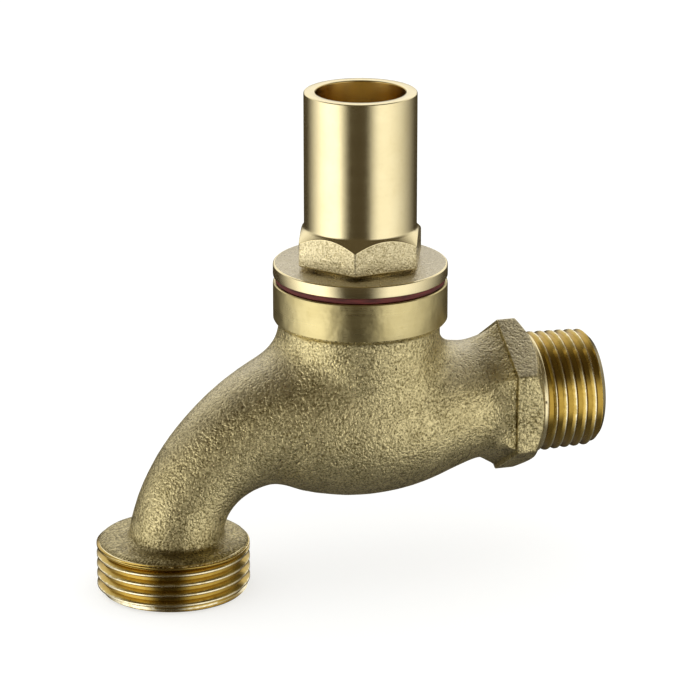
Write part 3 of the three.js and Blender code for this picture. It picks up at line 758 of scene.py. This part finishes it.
def spindle_outline(angle):
    half = math.radians(45)
    off = (angle + half) % (2 * half) - half
    square = min(SPINDLE_SQUARE / math.cos(off), SPINDLE_STEM_R - 0.02)
    outline = [
        [0, SPINDLE_BOTTOM], [SPINDLE_ROOT_R, SPINDLE_BOTTOM, 0.4], [SPINDLE_ROOT_R, SPINDLE_THREAD_END, 0.3],
        [SPINDLE_STEM_R, SPINDLE_THREAD_END, 0.15],
    ]
    for height in O_RING_HEIGHTS:
        low, high = height - O_RING_GROOVE / 2, height + O_RING_GROOVE / 2
        outline += [[SPINDLE_STEM_R, low, 0.15], [O_RING_GROOVE_R, low, 0.2],
                    [O_RING_GROOVE_R, high, 0.2], [SPINDLE_STEM_R, high, 0.15]]
    return outline + [
        [SPINDLE_STEM_R, SPINDLE_HEAD_START, 0.1], [square, SPINDLE_HEAD_START + 0.3, 0.3],
        [square, SPINDLE_TOP - SQUARE_CHAMFER, 0.1], [square - SQUARE_CHAMFER, SPINDLE_TOP, 0.1],
        [0, SPINDLE_TOP],
    ]


def spindle_stem():
    stem = turned_object("spindle_stem", spindle_outline, "turned", 144)
    low = SPINDLE_ROOT_R - 0.15
    form = [(0.0, low), (0.22, low), (0.42, SPINDLE_THREAD_R), (0.58, SPINDLE_THREAD_R), (0.78, low)]
    start, end = SPINDLE_THREAD_START, SPINDLE_THREAD_END
    thread = screw_object("spindle_thread", form, SPINDLE_LEAD, start, end, 96)
    narrow = SPINDLE_ROOT_R - 0.1
    wide = narrow + SPINDLE_THREAD_CHAMFER
    envelope = turned_object("spindle_envelope", [
        [0, start], [narrow, start], [wide, start + SPINDLE_THREAD_CHAMFER],
        [wide, end - SPINDLE_THREAD_CHAMFER], [narrow, end - 0.02], [0, end - 0.02],
    ], "turned", 96)
    combine(thread, envelope, "INTERSECT")
    combine(stem, thread, "UNION")
    below = SPINDLE_BOTTOM - MOUTH_CHAMFER
    bore = turned_object("pin_bore", [
        [0, below], [PIN_BORE_R + 2 * MOUTH_CHAMFER, below], [PIN_BORE_R, SPINDLE_BOTTOM + MOUTH_CHAMFER],
        [PIN_BORE_R, PIN_BORE_TOP], [0, PIN_BORE_TOP],
    ], "inside", 72)
    combine(stem, bore, "DIFFERENCE")
    return finish_surface(stem, 28)


def thrust_washer():
    inner, low = SPINDLE_STEM_R + 0.2, SPINDLE_THREAD_END + 0.1
    high = low + NYLON_THICKNESS
    return finish_surface(flat_washer("nylon_washer", inner, SPINDLE_ROOT_R, low, high, (0.1, 0.15), 96))


def o_ring(name, height):
    outline = []
    for t in np.linspace(0, 2 * math.pi, 24, endpoint=False):
        outline.append([O_RING_R + O_RING_SECTION_R * math.cos(t), height + O_RING_SECTION_R * math.sin(t)])
    return finish_surface(turned_object(name, outline, "turned", 96), 60)


def jumper_pin():
    pin = turned_object("jumper_pin", [
        [0, STUD_BOTTOM], [STUD_R, STUD_BOTTOM, 0.3], [STUD_R, DISC_BOTTOM], [DISC_R, DISC_BOTTOM, 0.2],
        [DISC_R, DISC_TOP, 0.5], [PIN_R, DISC_TOP, 0.5], [PIN_R, PIN_TOP, 0.6], [0, PIN_TOP],
    ], "turned", 128)
    return finish_surface(pin)


def jumper_rubber():
    low, high = SEAT_LIP + 0.1, DISC_BOTTOM - 0.1
    return finish_surface(flat_washer("jumper_rubber", STUD_HOLE_R, RUBBER_R, low, high, (0.2, 0.5), 128), 50)


def lock_nut_outline(angle):
    """A small hexagon nut with a cone at each end, a little longer at the lower one."""
    radius = hex_radius(angle, LOCK_NUT_FLAT, turn=0, rounding=0.2)
    cone = max(radius - LOCK_NUT_FACE_R, 0) * 0.6
    low, high = LOCK_NUT_LOW + cone, LOCK_NUT_HIGH - cone
    return [
        [STUD_HOLE_R, LOCK_NUT_LOW, 0.2], [radius - 0.05, low, 0.1], [radius, low + 0.67 - 0.1 * radius],
        [radius, high - 0.1], [radius - 0.05, high, 0.1], [STUD_HOLE_R, LOCK_NUT_HIGH, 0.2],
    ]


def jumper_nut():
    return finish_surface(turned_object("jumper_lock_nut", lock_nut_outline, "turned", 144))


# ---------------------------------------------------------------- materials

def add_node(tree, kind, *inputs, **settings):
    """A node whose numbered inputs are set to values, or linked to sockets; None leaves one alone."""
    node = tree.nodes.new("ShaderNode" + kind)
    for key, value in settings.items():
        setattr(node, key, value)
    for place, value in enumerate(inputs):
        if isinstance(value, bpy.types.NodeSocket):
            tree.links.new(value, node.inputs[place])
        elif value is not None:
            node.inputs[place].default_value = value
    return node


def calculate(tree, operation, *inputs):
    """The result of one Math node."""
    return add_node(tree, "Math", *inputs, operation=operation).outputs[0]


def total(tree, first, *others):
    """The sum of two or more sockets or values."""
    for value in others:
        first = calculate(tree, "ADD", first, value)
    return first


def noise(tree, place, size, detail=2.0, roughness=0.5, distortion=0.0):
    """Noise whose grains are about the given size in mm."""
    node = add_node(tree, "TexNoise")
    tree.links.new(place, node.inputs["Vector"])
    node.inputs["Scale"].default_value = 1 / (size * MM)
    node.inputs["Detail"].default_value = detail
    node.inputs["Roughness"].default_value = roughness
    node.inputs["Distortion"].default_value = distortion
    return node.outputs["Fac"]


def layered_noise(tree, place, across, along, detail):
    """Noise in thin layers stacked along Z, with the given numbers of grains to the metre."""
    stretched = add_node(tree, "VectorMath", place, (across, across, along), operation="MULTIPLY").outputs[0]
    return noise(tree, stretched, 1 / MM, detail)


def spread(tree, value, low, high, to_low=0.0, to_high=1.0):
    """Takes low to high onto to_low to to_high, and holds what is outside at the ends."""
    node = add_node(tree, "MapRange", value, low, high, to_low, to_high)
    node.clamp = True
    return node.outputs[0]


def blend(tree, share, first, second):
    """A colour between two others; each may be a socket or three values."""
    node = tree.nodes.new("ShaderNodeMix")
    node.data_type = "RGBA"
    for place, value in ((0, share), (6, first), (7, second)):
        if isinstance(value, bpy.types.NodeSocket):
            tree.links.new(value, node.inputs[place])
        else:
            node.inputs[place].default_value = (*value, 1) if place else value
    return node.outputs[2]


def bump(tree, height, depth, below=None):
    """Relief of the given depth in mm, over another relief if there is one."""
    node = tree.nodes.new("ShaderNodeBump")
    node.inputs["Strength"].default_value = 1.0
    node.inputs["Distance"].default_value = depth * MM
    tree.links.new(height, node.inputs["Height"])
    if below is not None:
        tree.links.new(below, node.inputs["Normal"])
    return node.outputs["Normal"]


def start_material(material, metallic, base, roughness, specular=0.5):
    """Its node tree, its shader and the place on the object, with plain values on the shader."""
    material.use_nodes = True
    tree = material.node_tree
    shader = tree.nodes["Principled BSDF"]
    shader.inputs["Metallic"].default_value = metallic
    shader.inputs["Base Color"].default_value = (*base, 1)
    shader.inputs["Roughness"].default_value = roughness
    shader.inputs["Specular IOR Level"].default_value = specular
    material.diffuse_color = (*base, 1)
    place = add_node(tree, "TexCoord").outputs["Object"]
    return tree, shader, place


def cast_brass(material, grain, relief, pale, deep):
    """A shot-blasted casting: pitted and patchy, with painted shade where it is enclosed and a greyer painted
    sheen where it faces up.
    """
    tree, shader, place = start_material(material, 1.0, pale, 0.42)
    fine = noise(tree, place, grain, 2.0, 0.6)
    pits = noise(tree, place, grain * 2.6, 2.0, 0.5, 0.5)
    patches = noise(tree, place, 5.0, 3.0, 0.6)
    clouds = noise(tree, place, 16.0, 2.0, 0.5)
    # the stored painted shade darkens the colour in recesses, on the shoulder, beside the inlet hexagon and
    # in the run-out
    recess_shade = add_node(tree, "Attribute", attribute_name="recess_shade").outputs["Fac"]
    share = total(
        tree,
        spread(tree, patches, 0.3, 0.7, -0.12, 0.2),
        spread(tree, clouds, 0.3, 0.7, -0.1, 0.15),
        spread(tree, fine, 0.34, 0.60, 0.8, -0.1),
        spread(tree, recess_shade, 0.25, 1.0, 0.0, 0.7),
    )
    colour = blend(tree, add_node(tree, "Clamp", share).outputs[0], pale, deep)
    up = add_node(tree, "SeparateXYZ", add_node(tree, "NewGeometry").outputs["Normal"]).outputs["Z"]
    facing_up = spread(tree, up, 0.45, 1.0, 0.0, 0.6)
    # painted sheen: faces that point up are turned greyer, for the light from above, less so where the
    # painted shade lies
    top_sheen = calculate(tree, "MULTIPLY", facing_up, spread(tree, recess_shade, 0.15, 0.5, 1.0, 0.1))
    tree.links.new(blend(tree, top_sheen, colour, TOP_SHEEN), shader.inputs["Base Color"])
    tree.links.new(spread(tree, pits, 0.3, 0.7, 0.24, 0.42), shader.inputs["Roughness"])
    relief_low = bump(tree, pits, relief * 0.9)
    tree.links.new(bump(tree, fine, relief, relief_low), shader.inputs["Normal"])


def turned_brass(material, base, deep, roughness, wear):
    """Brass left by the tool: fine rings round the Z axis, small marks and faint dents."""
    tree, shader, place = start_material(material, 1.0, base, roughness)
    rings = layered_noise(tree, place, 40.0, 5200.0, 2.0)
    tint = noise(tree, place, 7.0, 3.0, 0.6)
    marks = noise(tree, place, 0.8, 4.0, 0.7)
    share = total(tree, spread(tree, tint, 0.35, 0.7, 0.0, 0.35), spread(tree, marks, 0.55, 0.8, 0.0, 0.35))
    tree.links.new(blend(tree, share, base, deep), shader.inputs["Base Color"])
    ring_roughness = spread(tree, rings, 0.3, 0.7, roughness - 0.02, roughness + 0.04)
    tint_roughness = spread(tree, tint, 0.3, 0.7, 0.0, 0.05)
    tree.links.new(total(tree, ring_roughness, tint_roughness), shader.inputs["Roughness"])
    dents = bump(tree, noise(tree, place, 2.6, 2.0, 0.4), wear * 6)
    scratches = bump(tree, rings, 0.003, dents)
    tree.links.new(bump(tree, marks, wear, scratches), shader.inputs["Normal"])


def threaded_brass(material):
    """Cut threads: pale painted highlights on the crests over deep gold painted shade in the grooves."""
    tree, shader, place = start_material(material, 1.0, (0.56, 0.42, 0.15), 0.2)
    recess_shade = add_node(tree, "Attribute", attribute_name="recess_shade").outputs["Fac"]
    marks = noise(tree, place, 0.9, 3.0, 0.6)
    depth = total(tree, recess_shade, spread(tree, marks, 0.3, 0.7, -0.12, 0.12))
    # the stored painted shade picks the groove golds, and its absence the pale crest highlight; the marks add
    # random tone
    groove = blend(tree, spread(tree, depth, 0.3, 1.0), (0.54, 0.40, 0.12), (0.42, 0.275, 0.05))
    colour = blend(tree, spread(tree, depth, 0.0, 0.2, 1.0, 0.0), groove, (0.88, 0.80, 0.56))
    tree.links.new(colour, shader.inputs["Base Color"])
    tree.links.new(spread(tree, marks, 0.3, 0.7, 0.15, 0.28), shader.inputs["Roughness"])
    tree.links.new(bump(tree, marks, 0.01), shader.inputs["Normal"])


def waterway_brass(material):
    """Drilled and cored surfaces that stay dull and brown-orange."""
    tree, shader, place = start_material(material, 1.0, (0.62, 0.42, 0.17), 0.34)
    patches = noise(tree, place, 3.0, 3.0, 0.6)
    marks = noise(tree, place, 0.5, 3.0, 0.6)
    colour = blend(tree, spread(tree, patches, 0.3, 0.7), (0.66, 0.46, 0.20), (0.46, 0.28, 0.10))
    tree.links.new(colour, shader.inputs["Base Color"])
    tree.links.new(spread(tree, marks, 0.3, 0.7, 0.18, 0.30), shader.inputs["Roughness"])
    tree.links.new(bump(tree, marks, 0.01), shader.inputs["Normal"])


def red_fibre(material):
    """Pressed fibre in thin layers, deep red and matte."""
    tree, shader, place = start_material(material, 0.0, (0.12, 0.025, 0.02), 0.62, 0.35)
    fibres = layered_noise(tree, place, 350.0, 3500.0, 4.0)
    colour = blend(tree, spread(tree, fibres, 0.35, 0.7), (0.14, 0.022, 0.017), (0.05, 0.010, 0.008))
    tree.links.new(colour, shader.inputs["Base Color"])
    tree.links.new(bump(tree, fibres, 0.03), shader.inputs["Normal"])


def black_rubber(material):
    """Moulded rubber with a little dust."""
    tree, shader, place = start_material(material, 0.0, (0.022, 0.021, 0.020), 0.55, 0.4)
    dust = noise(tree, place, 1.4, 4.0, 0.65)
    colour = blend(tree, spread(tree, dust, 0.5, 0.8), (0.02, 0.019, 0.018), (0.06, 0.056, 0.05))
    tree.links.new(colour, shader.inputs["Base Color"])
    tree.links.new(spread(tree, dust, 0.3, 0.7, 0.45, 0.7), shader.inputs["Roughness"])
    tree.links.new(bump(tree, noise(tree, place, 0.2, 2.0), 0.01), shader.inputs["Normal"])


def white_nylon(material):
    """Moulded nylon, slightly uneven in tone."""
    tree, shader, place = start_material(material, 0.0, (0.78, 0.75, 0.66), 0.4, 0.45)
    tone = noise(tree, place, 2.5, 3.0, 0.5)
    tree.links.new(blend(tree, tone, (0.80, 0.77, 0.68), (0.70, 0.66, 0.56)), shader.inputs["Base Color"])
    tree.links.new(bump(tree, noise(tree, place, 0.3, 2.0), 0.008), shader.inputs["Normal"])


def paint(obj, material):
    """Gives the whole object one material instead of its zones."""
    obj.data.materials.clear()
    obj.data.materials.append(material)
    return obj


# ---------------------------------------------------------------- camera, light and floor

def studio_light(camera_azimuth):
    """Soft boxes to the left, right and back of the first view, in a dim warm room. The dark gap
    between the first two faces that view. It is all fixed in the world."""
    world = bpy.data.worlds.new("studio")
    bpy.context.scene.world = world
    world.use_nodes = True
    world.cycles.sampling_method = "NONE"
    tree = world.node_tree
    tree.nodes.clear()
    direction = add_node(tree, "TexCoord").outputs["Generated"]
    x, y, z = add_node(tree, "SeparateXYZ", direction).outputs
    turn = calculate(tree, "ARCTAN2", x, calculate(tree, "MULTIPLY", y, -1.0))
    offset = calculate(tree, "WRAP", calculate(tree, "SUBTRACT", turn, camera_azimuth), math.pi, -math.pi)
    away = calculate(tree, "ABSOLUTE", offset)

    def ramp(value, start, end, low=0.0, high=1.0):
        kind = "SMOOTHSTEP"
        return add_node(tree, "MapRange", value, start, end, low, high, interpolation_type=kind).outputs[0]

    def band(value, opens, full, fades, shut):
        return calculate(tree, "MULTIPLY", ramp(value, opens, full), ramp(value, fades, shut, 1.0, 0.0))

    lit = []
    for box in SOFT_BOXES:
        across = away if box["behind"] else offset
        width = band(across, *(math.radians(angle) for angle in box["azimuths"]))
        height = band(z, *(math.sin(math.radians(angle)) for angle in box["elevations"]))
        lit.append(calculate(tree, "MULTIPLY", calculate(tree, "MULTIPLY", width, height), box["strength"]))
    light = total(tree, *lit, ramp(z, *FLOOR_BOUNCE_HEIGHTS, FLOOR_BOUNCE, 0.0))
    boxes = add_node(tree, "Background", SOFT_BOX_COLOUR, light)
    dim = add_node(tree, "Background", ROOM_COLOUR, ramp(z, *ROOM_HEIGHTS, *ROOM_GLOW))
    both = add_node(tree, "AddShader", boxes.outputs[0], dim.outputs[0])
    output = add_node(tree, "OutputWorld")
    tree.links.new(both.outputs[0], output.inputs["Surface"])


def pale_room():
    """A pale floor and a bright backdrop, which the camera sees and the brass doesn't mirror."""
    bpy.ops.mesh.primitive_plane_add(size=FLOOR_SIZE, location=(0, 0, OUTLET_END * MM - FLOOR_DROP))
    floor = bpy.context.object
    floor.name = "floor"
    white = bpy.data.materials.new("pale_floor")
    shader = start_material(white, 0.0, (0.42, 0.42, 0.41), 0.8, 0.1)[1]
    shader.inputs["Emission Color"].default_value = (1.0, 1.0, 0.99, 1.0)
    shader.inputs["Emission Strength"].default_value = FLOOR_GLOW
    white.cycles.emission_sampling = "NONE"
    paint(floor, white)
    bpy.ops.mesh.primitive_uv_sphere_add(segments=48, ring_count=24, radius=BACKDROP_R)
    backdrop = bpy.context.object
    backdrop.name = "backdrop"
    glow = bpy.data.materials.new("backdrop_glow")
    glow.use_nodes = True
    glow.node_tree.nodes.clear()
    emission = add_node(glow.node_tree, "Emission", (1.0, 1.0, 1.0, 1.0), BACKDROP_STRENGTH)
    output = add_node(glow.node_tree, "OutputMaterial")
    glow.node_tree.links.new(emission.outputs[0], output.inputs["Surface"])
    glow.cycles.emission_sampling = "NONE"
    paint(backdrop, glow)
    for obj in (floor, backdrop):
        obj.visible_glossy = False


def photo_camera(azimuth, elevation):
    """Looks at a point near the valve centre, from far away through a long lens."""
    camera = bpy.data.objects.new("camera", bpy.data.cameras.new("camera"))
    bpy.context.scene.collection.objects.link(camera)
    bpy.context.scene.camera = camera
    camera.data.lens = CAMERA_LENS
    camera.data.sensor_width = SENSOR_WIDTH
    camera.data.clip_start = 0.01
    camera.data.clip_end = 20
    back = Vector((math.sin(azimuth) * math.cos(elevation), -math.cos(azimuth) * math.cos(elevation),
                   math.sin(elevation)))
    right = Vector((math.cos(azimuth), math.sin(azimuth), 0))
    up = back.cross(right)
    centre = Vector((AXIS_X * MM, 0, 0))
    camera.location = centre + back * CAMERA_DISTANCE - right * AIM_LEFT + up * AIM_UP
    camera.rotation_mode = "QUATERNION"
    camera.rotation_quaternion = (-back).to_track_quat("-Z", "Y")


# ---------------------------------------------------------------- assembly

# metres, and millimetres for the lens and its sensor
CAMERA_AZIMUTH = math.radians(-16.95)
CAMERA_ELEVATION = math.radians(18.10)
CAMERA_DISTANCE = 0.6243
CAMERA_LENS = 185.143
SENSOR_WIDTH = 36
AIM_LEFT = 0.0017689
AIM_UP = 0.0100755
FLOOR_SIZE = 8
FLOOR_DROP = 0.0003
BACKDROP_R = 3

# angles in degrees at which each box opens, is full, fades and is shut: azimuths are counted from
# the camera, to the right, or both ways for a box that is behind
SOFT_BOXES = (
    {"strength": 1.7, "azimuths": (-138, -62, -52, -20), "elevations": (-62, -30, 0, 30), "behind": False},
    {"strength": 1.15, "azimuths": (9, 40, 50, 148), "elevations": (-54, -24, 5, 38), "behind": False},
    {"strength": 1.05, "azimuths": (90, 140, 190, 200), "elevations": (-2, 15, 45, 75), "behind": True},
)
SOFT_BOX_COLOUR = (1.0, 0.99, 0.97, 1.0)

# the room's glow rises, and the floor's fades, between two heights: sines of the elevation
ROOM_COLOUR = (1.0, 0.80, 0.50, 1.0)
ROOM_GLOW = (0.03, 0.10)
ROOM_HEIGHTS = (-1.0, 0.6)
FLOOR_BOUNCE = 0.12
FLOOR_BOUNCE_HEIGHTS = (-0.88, -0.55)

# what the camera sees of the floor and the backdrop, and the greyer colour painted on brass that faces up as
# a painted sheen of the light from above
FLOOR_GLOW = 0.62
BACKDROP_STRENGTH = 1.15
TOP_SHEEN = (0.54, 0.50, 0.41)

bpy.context.scene.view_settings.view_transform = "Standard"
photo_camera(CAMERA_AZIMUTH, CAMERA_ELEVATION)
studio_light(CAMERA_AZIMUTH)
pale_room()

cast_brass(ZONE_MATERIALS["cast"], grain=0.38, relief=0.21,
           pale=(0.86, 0.75, 0.41), deep=(0.22, 0.175, 0.065))
cast_brass(ZONE_MATERIALS["forged"], grain=0.32, relief=0.11,
           pale=(0.80, 0.705, 0.445), deep=(0.38, 0.315, 0.155))
turned_brass(ZONE_MATERIALS["turned"], base=(0.86, 0.755, 0.46), deep=(0.74, 0.62, 0.33),
             roughness=0.16, wear=0.002)
turned_brass(ZONE_MATERIALS["bore"], base=(0.60, 0.455, 0.19), deep=(0.42, 0.28, 0.09),
             roughness=0.17, wear=0.001)
turned_brass(ZONE_MATERIALS["collar"], base=(0.64, 0.55, 0.28), deep=(0.46, 0.37, 0.14),
             roughness=0.27, wear=0.022)
threaded_brass(ZONE_MATERIALS["thread"])
waterway_brass(ZONE_MATERIALS["inside"])
FINISHES = {}
for painter in (red_fibre, black_rubber, white_nylon):
    FINISHES[painter.__name__] = bpy.data.materials.new(painter.__name__)
    painter(FINISHES[painter.__name__])

PIECES = (
    (body_casting(), "valve_body", "cast_brass", "valve"),
    (bonnet_forging(), "bonnet", "turned_brass", "valve"),
    (paint(fibre_washer(), FINISHES["red_fibre"]), "bonnet_washer", "red_fibre", "valve"),
    (spindle_stem(), "spindle", "turned_brass", "spindle"),
    (paint(thrust_washer(), FINISHES["white_nylon"]), "thrust_washer", "white_nylon", "spindle"),
    (paint(o_ring("o_ring_lower", O_RING_HEIGHTS[0]), FINISHES["black_rubber"]),
     "spindle_o_ring_lower", "black_rubber", "spindle"),
    (paint(o_ring("o_ring_upper", O_RING_HEIGHTS[1]), FINISHES["black_rubber"]),
     "spindle_o_ring_upper", "black_rubber", "spindle"),
    (jumper_pin(), "jumper_valve", "turned_brass", "jumper"),
    (paint(jumper_rubber(), FINISHES["black_rubber"]), "jumper_washer", "black_rubber", "jumper"),
    (jumper_nut(), "jumper_nut", "turned_brass", "jumper"),
)
for piece, node, slot, moving_body in PIECES:
    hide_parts(node)
    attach(piece, moving_body)
